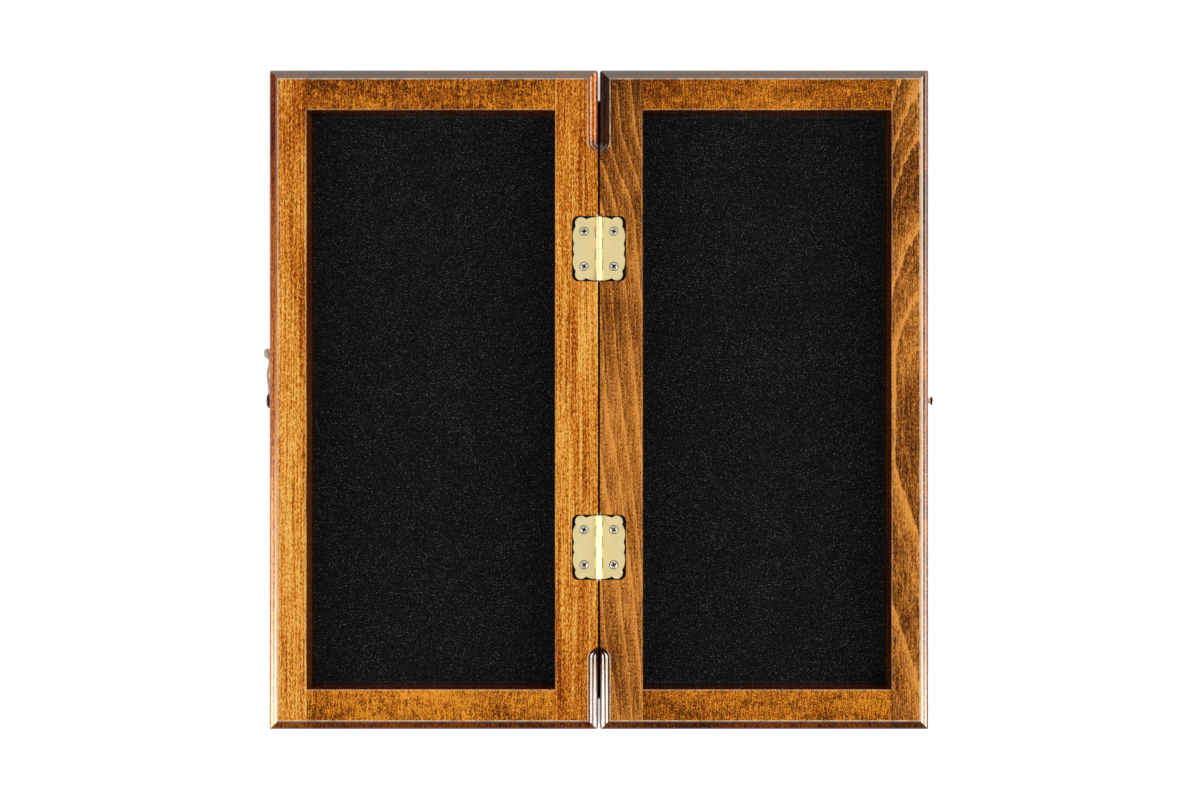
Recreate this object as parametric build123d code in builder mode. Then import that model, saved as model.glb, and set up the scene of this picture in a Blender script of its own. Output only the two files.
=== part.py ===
from build123d import *
import os

# A folding chess board that is also the box for its men. It lies open with its playing
# face down and its rims up. The fold runs along Y, +X is right, +Y is the rear and +Z
# is up. The origin is on the ground under the middle of the fold.
# Sizes are in millimetres.

# Frame of each half
board_side = 312.0
half_height = 26.0
outer_stile_width = 18.2
fold_stile_width = 20.2
rail_width = 19.5
stile_gap = 1.0
closed_gap = 0.3
corner_chamfer = 0.9
foot_chamfer = 0.8
rim_chamfer = 0.4
joint_chamfer = 0.15

# Ogee moulding routed round the rim, stopped before the hinges on the fold side
moulding_step = 0.8
cove_radius = 2.25
bead_radius = 2.25
cutter_overhang = 1.4
moulding_stop = 34.0

# Panel, veneered playing field and lining
playing_border = 12.0
panel_thickness = 4.0
panel_gap = 0.2
panel_fit = 0.15
veneer_thickness = 0.8
veneer_joint = 0.1
border_veneer_width = 11.0
stringing_width = 1.0
squares_across = 8
felt_thickness = 1.5
felt_fit = 0.3

# Hinges, with a leaf let into each fold stile
rear_hinge_y = 71.2
front_hinge_y = -69.5
hinge_length = 30.0
knuckle_count = 6
knuckle_gap = 0.15
leaf_thickness = 0.9
pin_diameter = 1.4
pin_running_fit = 0.05
pin_end = 0.3
notch_gap = 0.25
recess_gap = 0.4
recess_corner = 3.0
relief_gap = 0.25
relief_end = 1.6

# Outline of a hinge leaf, from the pin outwards and from its end inwards
shoulder_reach = 6.2
shoulder_drop = 1.2
shoulder_arc_height = 0.4
lobe_reach = 10.85
lobe_drop = 4.3
lobe_arc_height = 2.6
cusp_reach = 11.6
cusp_offset = 2.44
side_arc_height = 1.1
waist_arc_height = 0.55

# Countersunk cross-head screws of the hinges
hinge_screw_reach = 7.0
hinge_screw_offset = 8.3
hinge_screw_diameter = 2.2
hinge_screw_length = 9.0
hinge_screw_head = 4.4
hinge_screw_turn = 37.0
head_land = 0.1
countersink_depth = 0.7
screw_hole_fit = 0.3
head_fit = 0.06
cross_length = 2.4
cross_width = 0.55
cross_depth = 0.6

# The hinge screws and every screw hole are prisms of this many sides
screw_sides = 12

# Swinging hook on the left wall and its catch on the right one
latch_drop = 9.0
pivot_y = -0.5
pivot_screw_diameter = 2.6
pivot_head_diameter = 5.4
pivot_head_height = 0.5
pivot_fit = 0.08
side_screw_length = 10.0
slot_width = 0.7
slot_depth = 0.3
side_screw_turn = 25.0
washer_diameter = 6.2
washer_thickness = 0.3
hook_play = 0.1
hook_thickness = 0.8
hook_eye_diameter = 6.9
hook_arm_width = 3.4
hook_arm_drop = 3.4
hook_neck_reach = 10.0
hook_bow = 1.25
hook_bow_reach = 12.4
hook_span = 8.0
hook_tip_radius = 2.2
hook_bend_radius = 6.0
hook_eye_flat = 4.6
hook_tip_flat = 17.4
hook_tip_lift = 0.2
hook_lip_width = 3.1
hook_lip_reach = 1.6
hook_throat_radius = 1.1
catch_gap = 0.3
catch_screw_diameter = 2.4
catch_head_diameter = 3.9
catch_head_lift = 1.6
catch_head_height = 0.8
knob_reach = 22.7
knob_diameter = 4.7
knob_height = 2.1
knob_neck_diameter = 3.3
knob_neck_height = 0.3
knob_bevel = 0.7

# Places worked out from the sizes above
half_reach = board_side / 2
fold_face = stile_gap / 2
half_width = half_reach - fold_face
half_middle = fold_face + half_width / 2
tray_inner = fold_face + fold_stile_width
tray_outer = half_reach - outer_stile_width
tray_width = tray_outer - tray_inner
tray_middle = (tray_outer + tray_inner) / 2
tray_half_length = half_reach - rail_width
moulding_width = cove_radius + bead_radius
moulding_depth = moulding_step + moulding_width
rebate_reach = half_reach - playing_border
rebate_depth = panel_thickness + veneer_thickness
panel_reach = rebate_reach - panel_fit
panel_edge = panel_gap / 2
field_reach = rebate_reach - border_veneer_width - stringing_width
square = 2 * field_reach / squares_across
fold_axis_height = half_height + closed_gap / 2
barrel_radius = pin_diameter / 2 + leaf_thickness
leaf_seat = fold_axis_height - barrel_radius
leaf_top = leaf_seat + leaf_thickness
knuckle_pitch = hinge_length / knuckle_count
notch_reach = barrel_radius + notch_gap
latch_height = half_height - latch_drop
closed_catch_height = 2 * fold_axis_height - latch_height
catch_reach = closed_catch_height - latch_height
arm_height = latch_height - hook_arm_drop

os.makedirs("parts", exist_ok=True)


def save(piece, name):
    """Label one finished piece and write it under its node's name."""
    piece.part.label = name
    export_step(piece.part, f"parts/{name}.step")


def moulding_section(origin, inward):
    """Section of what the moulding cutter takes away, square to one edge of the rim.

    The section's x runs inwards from the outer face and its y runs up from the rim.
    Its outer side is the cutter's axis.
    """
    up = Vector(0, 0, 1)
    inward = Vector(*inward)
    with BuildSketch(Plane(origin=origin, x_dir=inward, z_dir=inward.cross(up))) as section:
        with BuildLine():
            CenterArc((bead_radius, -moulding_depth), bead_radius, 180, -90)
            CenterArc((bead_radius, -moulding_step), cove_radius, 270, 90)
            Polyline(
                (moulding_width, -moulding_step),
                (moulding_width, moulding_width),
                (-cutter_overhang, moulding_width),
                (-cutter_overhang, -moulding_depth),
                (0, -moulding_depth),
            )
        make_face()
    return section.sketch


def leaf_outline():
    """Scalloped outline of a hinge leaf, to the right of its pin at x = 0."""
    end = hinge_length / 2
    with BuildSketch() as outline:
        with BuildLine():
            with BuildLine(mode=Mode.PRIVATE) as scallops:
                SagittaArc((0, end), (shoulder_reach, end - shoulder_drop), shoulder_arc_height)
                SagittaArc(scallops.line @ 1, (lobe_reach, end - lobe_drop), lobe_arc_height)
                SagittaArc(scallops.line @ 1, (cusp_reach, cusp_offset), side_arc_height)
            add(scallops.line)
            mirror(scallops.line, about=Plane.XZ)
            SagittaArc((cusp_reach, cusp_offset), (cusp_reach, -cusp_offset), waist_arc_height)
            Line((0, -end), (0, end))
        make_face()
    return outline.sketch


leaf_sketch = leaf_outline()
leaf_reach = leaf_sketch.bounding_box().max.X
hinges = {"rear": rear_hinge_y, "front": front_hinge_y}
sides = {"left": -1, "right": 1}


def screw_hole(diameter):
    """Outline of a hole that clears a round of this diameter."""
    return RegularPolygon(diameter / 2, screw_sides, major_radius=False)


def hinge_screw_spots(side):
    """Places of the four hinge screws of one half."""
    return [
        (side * hinge_screw_reach, hinge_y + offset)
        for hinge_y in hinges.values()
        for offset in (-hinge_screw_offset, hinge_screw_offset)
    ]


for hand, side in sides.items():
    # Each half is glued up, routed, rebated and drilled as one frame
    with BuildPart() as half_frame:
        with BuildSketch() as half_outline:
            with Locations((side * half_middle, 0)):
                Rectangle(half_width, board_side)
            chamfer(half_outline.vertices(), corner_chamfer)
        extrude(amount=half_height)
        chamfer(half_frame.faces().sort_by(Axis.Z)[0].edges(), foot_chamfer)

        # Opening of the tray, with its upper edges eased
        with BuildSketch(Plane.XY.offset(half_height)) as opening:
            with Locations((side * tray_middle, 0)):
                Rectangle(tray_width, 2 * tray_half_length)
        extrude(amount=-half_height, mode=Mode.SUBTRACT)
        chamfer(half_frame.faces().sort_by(Axis.Z)[-1].inner_wires().edges(), rim_chamfer)

        # Rebate for the panel and its veneer, open at the fold
        with BuildSketch():
            Rectangle(2 * rebate_reach, 2 * rebate_reach)
        extrude(amount=rebate_depth, mode=Mode.SUBTRACT)

        # Moulding along the three outer sides
        outer_side = moulding_section((side * half_reach, 0, half_height), (-side, 0, 0))
        rear_side = moulding_section((side * half_middle, half_reach, half_height), (0, -1, 0))
        front_side = moulding_section((side * half_middle, -half_reach, half_height), (0, 1, 0))
        for section in (outer_side, rear_side, front_side):
            extrude(section, amount=board_side, both=True, mode=Mode.SUBTRACT)

        # It turns the corner on to the fold side and runs out in the cutter's own round
        for end in (-1, 1):
            stop_y = end * (half_reach - moulding_stop)
            section = moulding_section((side * fold_face, stop_y, half_height), (side, 0, 0))
            extrude(section, amount=-side * end * half_reach, mode=Mode.SUBTRACT)
            cutter_axis = Axis(
                (side * (fold_face - cutter_overhang), stop_y, 0),
                (0, 0, -side * end),
            )
            revolve(section, axis=cutter_axis, revolution_arc=180, mode=Mode.SUBTRACT)

        # Recess for each hinge, the hollow beside its barrel and the screw holes
        for hinge_y in hinges.values():
            with BuildSketch(Plane.XY.offset(leaf_seat)):
                with Locations((0, hinge_y)):
                    RectangleRounded(
                        2 * (leaf_reach + recess_gap),
                        hinge_length + 2 * recess_gap,
                        recess_corner,
                    )
            extrude(amount=half_height, mode=Mode.SUBTRACT)
            with Locations(Location((0, hinge_y, fold_axis_height), (90, 0, 0))):
                Cylinder(
                    barrel_radius + relief_gap,
                    hinge_length + 2 * relief_end,
                    mode=Mode.SUBTRACT,
                )
        with BuildSketch(Plane.XY.offset(leaf_seat)):
            with Locations(*hinge_screw_spots(side)):
                screw_hole(hinge_screw_diameter + screw_hole_fit)
        extrude(amount=-hinge_screw_length, mode=Mode.SUBTRACT)

        # Hole for the latch's screw in the outer wall
        if side < 0:
            bore_place = (-half_reach, pivot_y, latch_height)
            bore_diameter = pivot_screw_diameter
        else:
            bore_place = (half_reach, pivot_y, latch_height)
            bore_diameter = catch_screw_diameter
        with BuildSketch(Plane(bore_place, x_dir=(0, 1, 0), z_dir=(side, 0, 0))):
            screw_hole(bore_diameter + screw_hole_fit)
        extrude(amount=-side_screw_length, mode=Mode.SUBTRACT)

    # The four members are butt-jointed, with the rails between the stiles
    members = {
        "outer_stile": (side * (tray_outer + outer_stile_width / 2), 0, outer_stile_width, board_side),
        "fold_stile": (side * (fold_face + fold_stile_width / 2), 0, fold_stile_width, board_side),
        "rear_rail": (side * tray_middle, half_reach - rail_width / 2, tray_width, rail_width),
        "front_rail": (side * tray_middle, rail_width / 2 - half_reach, tray_width, rail_width),
    }
    for member, (x, y, width, length) in members.items():
        with BuildPart() as frame_member:
            add(half_frame.part)
            with BuildSketch():
                with Locations((x, y)):
                    Rectangle(width, length)
            extrude(amount=half_height, mode=Mode.INTERSECT)
            if member.endswith("rail"):
                rim_face = frame_member.faces().sort_by(Axis.Z)[-1]
                chamfer(rim_face.edges().filter_by(Axis.Y), joint_chamfer)
        save(frame_member, f"{hand}_{member}")

    # Plywood panel in the rebate
    with BuildPart() as panel:
        with BuildSketch(Plane.XY.offset(veneer_thickness)):
            with Locations((side * (panel_edge + panel_reach) / 2, 0)):
                Rectangle(panel_reach - panel_edge, 2 * panel_reach)
        extrude(amount=panel_thickness)
    save(panel, f"{hand}_panel")

    # Felt glued to the panel as the tray's floor
    with BuildPart() as felt:
        with BuildSketch(Plane.XY.offset(rebate_depth)):
            with Locations((side * tray_middle, 0)):
                Rectangle(tray_width - 2 * felt_fit, 2 * (tray_half_length - felt_fit))
        extrude(amount=felt_thickness)
    save(felt, f"{hand}_felt")

    # Squares of the playing field, with a light one at each player's right hand
    for shade, parity in (("light", (1 + side) // 2), ("dark", (1 - side) // 2)):
        with BuildPart() as squares:
            with BuildSketch():
                for column in range(squares_across // 2):
                    for row in range(squares_across):
                        if (column + row) % 2 == parity:
                            middle_x = side * (column + 0.5) * square
                            middle_y = (row + 0.5) * square - field_reach
                            with Locations((middle_x, middle_y)):
                                Rectangle(square - veneer_joint, square - veneer_joint)
                Rectangle(panel_gap, board_side, mode=Mode.SUBTRACT)
            extrude(amount=veneer_thickness)
        save(squares, f"{hand}_{shade}_squares")

    # Stringing and border veneer round the field, mitred at the corners
    stringing_reach = field_reach + stringing_width
    bands = {"stringing": (field_reach, stringing_reach), "border": (stringing_reach, panel_reach)}
    for band, (inner, outer) in bands.items():
        with BuildPart() as veneer_band:
            with BuildSketch():
                Rectangle(2 * outer, 2 * outer)
                Rectangle(2 * inner + veneer_joint, 2 * inner + veneer_joint, mode=Mode.SUBTRACT)
                with Locations((side * (panel_edge - half_reach), 0)):
                    Rectangle(board_side, board_side, mode=Mode.SUBTRACT)
                for turn in (-45, 45):
                    Rectangle(2 * board_side, veneer_joint, rotation=turn, mode=Mode.SUBTRACT)
            extrude(amount=veneer_thickness)
        save(veneer_band, f"{hand}_{band}")

# Countersunk hole of a hinge leaf, with the leaf's top at the origin's height
with BuildPart() as countersink:
    with BuildSketch(Plane.XY.offset(leaf_thickness)):
        screw_hole(hinge_screw_head)
    extrude(amount=-leaf_thickness - head_land - countersink_depth)
    chamfer(countersink.faces().sort_by(Axis.Z)[0].edges(), countersink_depth)
    with BuildSketch():
        screw_hole(hinge_screw_head - 2 * countersink_depth)
    extrude(amount=-2 * leaf_thickness)

# Hinges: two scalloped leaves whose knuckles take turns on one pin
leaf_sketches = {"left": mirror(leaf_sketch, about=Plane.YZ), "right": leaf_sketch}
for place, hinge_y in hinges.items():
    for hand, side in sides.items():
        with BuildPart() as leaf:
            with BuildSketch(Plane.XY.offset(leaf_seat)):
                with Locations((0, hinge_y)):
                    add(leaf_sketches[hand])
            extrude(amount=leaf_thickness)
            with Locations((0, hinge_y, leaf_seat)):
                Box(2 * notch_reach, board_side, half_height, mode=Mode.SUBTRACT)
            for knuckle in range((1 + side) // 2, knuckle_count, 2):
                knuckle_y = hinge_y + hinge_length / 2 - (knuckle + 0.5) * knuckle_pitch
                centre = (0, knuckle_y, fold_axis_height)
                with BuildSketch(Plane(centre, x_dir=(side, 0, 0), z_dir=(0, -side, 0))):
                    Circle(barrel_radius)
                    with Locations((0, -barrel_radius)):
                        Rectangle(
                            notch_reach + notch_gap,
                            leaf_thickness,
                            align=(Align.MIN, Align.MIN),
                        )
                extrude(amount=(knuckle_pitch - knuckle_gap) / 2, both=True)
            bore_radius = pin_diameter / 2 + (pin_running_fit if side > 0 else 0)
            with Locations(Location((0, hinge_y, fold_axis_height), (90, 0, 0))):
                Cylinder(bore_radius, 2 * hinge_length, mode=Mode.SUBTRACT)
            leaf_spots = [
                (x, y, leaf_top)
                for x, y in hinge_screw_spots(side)
                if abs(y - hinge_y) < hinge_length
            ]
            with Locations(*leaf_spots):
                add(countersink.part, mode=Mode.SUBTRACT)
        save(leaf, f"{place}_hinge_{hand}_leaf")

    with BuildPart() as pin:
        with Locations(Location((0, hinge_y, fold_axis_height), (90, 0, 0))):
            Cylinder(pin_diameter / 2, hinge_length + 2 * pin_end)
    save(pin, f"{place}_hinge_pin")

# One hinge screw, upright, with its head's flat top at the origin's height
with BuildPart() as hinge_screw:
    with BuildSketch():
        RegularPolygon(hinge_screw_head / 2 - head_fit, screw_sides)
    extrude(amount=-head_land - countersink_depth)
    chamfer(hinge_screw.faces().sort_by(Axis.Z)[0].edges(), countersink_depth)
    with BuildSketch():
        RegularPolygon(hinge_screw_diameter / 2, screw_sides)
    extrude(amount=-hinge_screw_length)
    with BuildSketch():
        Rectangle(cross_length, cross_width)
        Rectangle(cross_width, cross_length)
    extrude(amount=-cross_depth, mode=Mode.SUBTRACT)

# No two of them stopped at the same turn of the driver
for hand, side in sides.items():
    with BuildPart() as hinge_screws:
        for index, (x, y) in enumerate(hinge_screw_spots(side)):
            turn = (index + side) * hinge_screw_turn
            with Locations(Location((x, y, leaf_top), (0, 0, turn))):
                add(hinge_screw.part)
    save(hinge_screws, f"{hand}_hinge_screws")

# Slotted screws in the outer walls: the hook swings on one and catches the other
hook_room = washer_thickness + hook_thickness + 2 * hook_play
side_screws = {
    "latch_pivot_screw": (
        -1, pivot_y, pivot_screw_diameter, pivot_head_diameter, hook_room, pivot_head_height,
    ),
    "catch_screw": (
        1, pivot_y, catch_screw_diameter, catch_head_diameter, catch_head_lift, catch_head_height,
    ),
}
for name, (side, y, diameter, head_diameter, lift, head_height) in side_screws.items():
    with BuildPart() as side_screw:
        wall_point = (side * half_reach, y, latch_height)
        with BuildSketch(Plane(wall_point, x_dir=(0, 1, 0), z_dir=(0, 0, -side))):
            with BuildLine():
                Polyline(
                    (0, lift + head_height),
                    (head_diameter / 2, lift + head_height),
                    (head_diameter / 2, lift),
                    (diameter / 2, lift),
                    (diameter / 2, -side_screw_length),
                    (0, -side_screw_length),
                    close=True,
                )
            make_face()
        revolve(axis=Axis(wall_point, (1, 0, 0)))
        head_top = (side * (half_reach + lift + head_height), y, latch_height)
        with Locations(Location(head_top, (side_screw_turn, 0, 0))):
            Box(2 * slot_depth, slot_width, 2 * head_diameter, mode=Mode.SUBTRACT)
    save(side_screw, name)

left_wall = Plane.YZ.offset(-half_reach)

# Washer between the wall and the hook
with BuildPart() as washer:
    with BuildSketch(left_wall):
        with Locations((pivot_y, latch_height)):
            Circle(washer_diameter / 2)
            Circle(pivot_screw_diameter / 2 + pivot_fit, mode=Mode.SUBTRACT)
    extrude(amount=-washer_thickness)
save(washer, "latch_washer")

# The hook is a strip, bowed for a finger and cut to its outline: an eye, an arm that
# drops below it, and a lip that reaches over the catch
hook_inner = washer_thickness + hook_play
hook_middle = hook_inner + hook_thickness / 2
lip_start = catch_reach + catch_screw_diameter / 2 + catch_gap
lip_middle = lip_start + hook_lip_width / 2
lip_end = hook_arm_drop + catch_screw_diameter / 2 + hook_lip_reach - hook_lip_width / 2
with BuildPart() as hook:
    with BuildSketch(left_wall) as hook_outline:
        with Locations((pivot_y, latch_height)):
            Circle(hook_eye_diameter / 2)
        with BuildLine():
            FilletPolyline(
                (pivot_y, latch_height),
                (pivot_y + hook_neck_reach, arm_height),
                (pivot_y + knob_reach, arm_height),
                radius=hook_bend_radius,
            )
        trace(line_width=hook_arm_width)
        with Locations((pivot_y + knob_reach, arm_height)):
            Circle(hook_tip_radius)
        with Locations((pivot_y + lip_middle, arm_height)):
            Rectangle(hook_lip_width, lip_end, align=(Align.CENTER, Align.MIN))
        with Locations((pivot_y + lip_middle, arm_height + lip_end)):
            Circle(hook_lip_width / 2)
        throat = (-half_reach, pivot_y + lip_start, arm_height + hook_arm_width / 2)
        fillet(hook_outline.vertices().sort_by_distance(throat)[0], hook_throat_radius)
    extrude(amount=-hook_span)
    with BuildSketch(Plane.XY.offset(latch_height)):
        with BuildLine():
            FilletPolyline(
                (-half_reach - hook_middle, pivot_y - hook_eye_diameter),
                (-half_reach - hook_middle, pivot_y + hook_eye_flat),
                (-half_reach - hook_middle - hook_bow, pivot_y + hook_bow_reach),
                (-half_reach - hook_middle - hook_tip_lift, pivot_y + hook_tip_flat),
                (-half_reach - hook_middle - hook_tip_lift, pivot_y + knob_reach + hook_eye_diameter),
                radius=hook_bend_radius,
            )
        trace(line_width=hook_thickness)
    extrude(amount=half_height, both=True, mode=Mode.INTERSECT)
    with BuildSketch(left_wall):
        with Locations((pivot_y, latch_height)):
            Circle(pivot_screw_diameter / 2 + pivot_fit)
    extrude(amount=-hook_span, mode=Mode.SUBTRACT)
save(hook, "latch_hook")

# Turned knob, brazed to the end of the hook
knob_seat = hook_inner + hook_tip_lift + hook_thickness
knob_plane = Plane(
    (-half_reach, pivot_y + knob_reach, arm_height),
    x_dir=(0, 1, 0),
    z_dir=(0, 0, 1),
)
with BuildPart() as knob:
    with BuildSketch(knob_plane):
        with BuildLine():
            Polyline(
                (0, knob_seat),
                (knob_neck_diameter / 2, knob_seat),
                (knob_neck_diameter / 2, knob_seat + knob_neck_height),
                (knob_diameter / 2, knob_seat + knob_neck_height),
                (knob_diameter / 2, knob_seat + knob_height - knob_bevel),
                (knob_diameter / 2 - knob_bevel, knob_seat + knob_height),
                (0, knob_seat + knob_height),
                close=True,
            )
        make_face()
    revolve(axis=Axis(knob_plane.origin, (1, 0, 0)))
save(knob, "latch_knob")
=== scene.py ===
import math
from typing import NamedTuple

import bmesh
import bpy
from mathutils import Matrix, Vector, noise


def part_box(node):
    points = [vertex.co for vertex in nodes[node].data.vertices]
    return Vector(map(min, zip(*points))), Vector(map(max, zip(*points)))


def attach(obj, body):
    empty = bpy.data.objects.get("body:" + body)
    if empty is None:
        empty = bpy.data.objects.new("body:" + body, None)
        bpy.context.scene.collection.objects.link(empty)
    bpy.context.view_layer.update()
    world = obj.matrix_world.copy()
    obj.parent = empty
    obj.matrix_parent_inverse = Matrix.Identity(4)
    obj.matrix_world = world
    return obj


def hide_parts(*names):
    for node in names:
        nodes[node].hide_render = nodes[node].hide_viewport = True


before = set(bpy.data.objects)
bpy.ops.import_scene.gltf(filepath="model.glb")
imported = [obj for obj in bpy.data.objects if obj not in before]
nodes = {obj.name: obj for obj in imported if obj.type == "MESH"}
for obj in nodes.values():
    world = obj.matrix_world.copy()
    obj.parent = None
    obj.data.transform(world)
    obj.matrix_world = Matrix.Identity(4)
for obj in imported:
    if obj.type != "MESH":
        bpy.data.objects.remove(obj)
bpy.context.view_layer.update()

# The looks of a folding chess board that lies open with its trays up.
# Scene lengths are in metres. Inside the materials, places are in millimetres.

MM = 0.001
HANDS = {"left": -1, "right": 1}
PLACES = ("rear", "front")
scene = bpy.context.scene


def corners(name):
    """Lowest and highest corner of a CAD node, in millimetres."""
    return [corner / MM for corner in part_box(name)]


# Places taken from the frame, in millimetres
stile_low, stile_high = corners("right_outer_stile")
fold_low, fold_high = corners("right_fold_stile")
screw_low, screw_high = corners("right_hinge_screws")
pivot_high = corners("latch_pivot_screw")[1]
catch_high = corners("catch_screw")[1]
rim_height = stile_high.z
half_reach = stile_high.x
tray_inner = fold_high.x
tray_outer = stile_low.x
tray_half_length = corners("right_rear_rail")[0].y
fold_face = fold_low.x
hinge_middles = [
    sum(corner.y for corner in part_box(f"{place}_hinge_pin")) / 2 / MM for place in PLACES
]


def srgb(red, green, blue):
    """A colour written as on a screen, 0 to 255, as the linear colour that shaders take."""
    linear = [
        value / 255 / 12.92 if value <= 10 else ((value / 255 + 0.055) / 1.055) ** 2.4
        for value in (red, green, blue)
    ]
    return (*linear, 1.0)


class Layer(NamedTuple):
    """Noise whose features are about 1 / stretch millimetres long on each axis.

    step is added to the material's seed, and weight is the layer's part in the tone.
    """

    stretch: tuple
    step: int = 0
    detail: float = 2.0
    roughness: float = 0.5
    distortion: float = 0.0
    weight: float = 0.0


# Steps of the seeds and blend of the near masks, in millimetres
SEED_SHIFT = (17.3, 31.7, 7.9)
NEAR_BLEND = 0.1


class Tree:
    """Helpers that add nodes to a node tree."""

    def __init__(self, tree):
        self.tree = tree
        tree.nodes.clear()

    def node(self, kind):
        return self.tree.nodes.new(kind)

    def put(self, socket, value):
        """Give an input its value, which is a number, a colour or another node's output."""
        if isinstance(value, bpy.types.NodeSocket):
            self.tree.links.new(value, socket)
        else:
            socket.default_value = value

    def split(self, vector):
        node = self.node("ShaderNodeSeparateXYZ")
        self.put(node.inputs[0], vector)
        return node.outputs

    def math(self, operation, *values):
        node = self.node("ShaderNodeMath")
        node.operation = operation
        for socket, value in zip(node.inputs, values):
            self.put(socket, value)
        return node.outputs[0]

    def remap(self, value, low, high, to_low=0.0, to_high=1.0, smooth=False):
        """0 to 1, or to_low to to_high, as the value goes from low to high."""
        node = self.node("ShaderNodeMapRange")
        node.interpolation_type = "SMOOTHSTEP" if smooth else "LINEAR"
        self.put(node.inputs["Value"], value)
        numbers = {"From Min": low, "From Max": high, "To Min": to_low, "To Max": to_high}
        for socket, number in numbers.items():
            node.inputs[socket].default_value = number
        return node.outputs[0]

    def fall(self, value, low, high):
        """1 to 0 as the value goes from low to high."""
        return self.remap(value, low, high, 1.0, 0.0)

    def near(self, value, place, reach):
        """1 where the value is within reach of place."""
        distance = self.math("ABSOLUTE", self.math("SUBTRACT", value, place))
        return self.fall(distance, reach, reach + NEAR_BLEND)

    def graph(self, along, stops, smooth=True):
        """A value that runs through the (place, value) stops."""
        result = 0.0
        for (start, low), (end, high) in zip(stops, stops[1:]):
            part = self.remap(along, start, end, 0.0, high - low, smooth=smooth)
            result = self.math("ADD", result, part)
        return self.math("ADD", result, stops[0][1])

    def product(self, first, *others):
        result = first
        for value in others:
            result = self.math("MULTIPLY", result, value)
        return result

    def total(self, base, *shares):
        """base, plus each (value - 0.5) times its weight."""
        result = base
        for value, weight in shares:
            centred = self.math("SUBTRACT", value, 0.5)
            result = self.math("ADD", result, self.math("MULTIPLY", centred, weight))
        return result

    def mix(self, share, first, second, kind="MIX"):
        node = self.node("ShaderNodeMix")
        node.data_type = "RGBA"
        node.blend_type = kind
        self.put(node.inputs["Factor"], share)
        self.put(node.inputs["A"], first)
        self.put(node.inputs["B"], second)
        return node.outputs["Result"]


class Shader(Tree):
    """One material's nodes. Places are the object's own, in millimetres."""

    def __init__(self, name, **constants):
        self.material = bpy.data.materials.new(name)
        self.material.use_nodes = True
        super().__init__(self.material.node_tree)
        self.surface = self.node("ShaderNodeBsdfPrincipled")
        output = self.node("ShaderNodeOutputMaterial")
        self.tree.links.new(self.surface.outputs[0], output.inputs["Surface"])
        for socket, value in constants.items():
            self.surface.inputs[socket.replace("_", " ")].default_value = value
        coordinates = self.node("ShaderNodeTexCoord")
        self.place = self.vector("SCALE", coordinates.outputs["Object"], scale=1 / MM)
        self.x, self.y, self.z = self.split(self.place)
        self.level = self.split(coordinates.outputs["Normal"])[2]

    def vector(self, operation, first, second=None, scale=None):
        node = self.node("ShaderNodeVectorMath")
        node.operation = operation
        self.put(node.inputs[0], first)
        if second is not None:
            self.put(node.inputs[1], second)
        if scale is not None:
            self.put(node.inputs["Scale"], scale)
        return node.outputs[0]

    def noise(self, layer, seed=0):
        shift = [(seed + layer.step) * part for part in SEED_SHIFT]
        moved = self.vector("ADD", self.place, shift)
        node = self.node("ShaderNodeTexNoise")
        node.inputs["Scale"].default_value = 1.0
        node.inputs["Detail"].default_value = layer.detail
        node.inputs["Roughness"].default_value = layer.roughness
        node.inputs["Distortion"].default_value = layer.distortion
        self.put(node.inputs["Vector"], self.vector("MULTIPLY", moved, layer.stretch))
        return node.outputs[0]

    def layered(self, seed, base, layers):
        """The noise of each layer by name, and the tone that they make together around base."""
        noises = {name: self.noise(layer, seed) for name, layer in layers.items()}
        shares = [(noises[name], layer.weight) for name, layer in layers.items()]
        return noises, self.total(base, *shares)

    def less(self, tone, value, depth):
        """The tone, darker by depth where the value is 1."""
        return self.math("SUBTRACT", tone, self.math("MULTIPLY", value, depth))

    def ramp(self, value, *stops):
        """Colour from a value. A stop is (place, (red, green, blue))."""
        node = self.node("ShaderNodeValToRGB")
        while len(node.color_ramp.elements) < len(stops):
            node.color_ramp.elements.new(0.5)
        for element, (place, colour) in zip(node.color_ramp.elements, stops):
            element.position = place
            element.color = srgb(*colour)
        self.put(node.inputs[0], value)
        return node.outputs[0]

    def multiply(self, colour, tint):
        return self.mix(1.0, colour, tint, "MULTIPLY")

    def paint(self, share, colour, cover):
        """The colour, covered by another one where share is 1."""
        return self.mix(share, colour, srgb(*cover))

    def bump(self, height, depth, under=None):
        """Bump whose full height range is depth, in millimetres."""
        node = self.node("ShaderNodeBump")
        node.inputs["Distance"].default_value = depth * MM
        self.put(node.inputs["Height"], height)
        if under is not None:
            self.put(node.inputs["Normal"], under)
        return node.outputs[0]

    def finish(self, colour, roughness, normal):
        self.put(self.surface.inputs["Base Color"], colour)
        self.put(self.surface.inputs["Roughness"], roughness)
        self.put(self.surface.inputs["Normal"], normal)
        return self.material


# Parts of the wood that have looks of their own, in millimetres
MOULDING_WIDTH = 4.5
MOULDING_DEPTH = 5.3
MOULDING_STOP = 34.0
RECESS_HALF_LENGTH = 15.6
RECESS_REACH = 13.3
ARRIS_LINE = 0.2
ARRIS_REACH = 0.25
OPENING_REACH = 0.3
moulding_foot = rim_height - MOULDING_DEPTH
moulding_stop = half_reach - MOULDING_STOP

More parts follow.
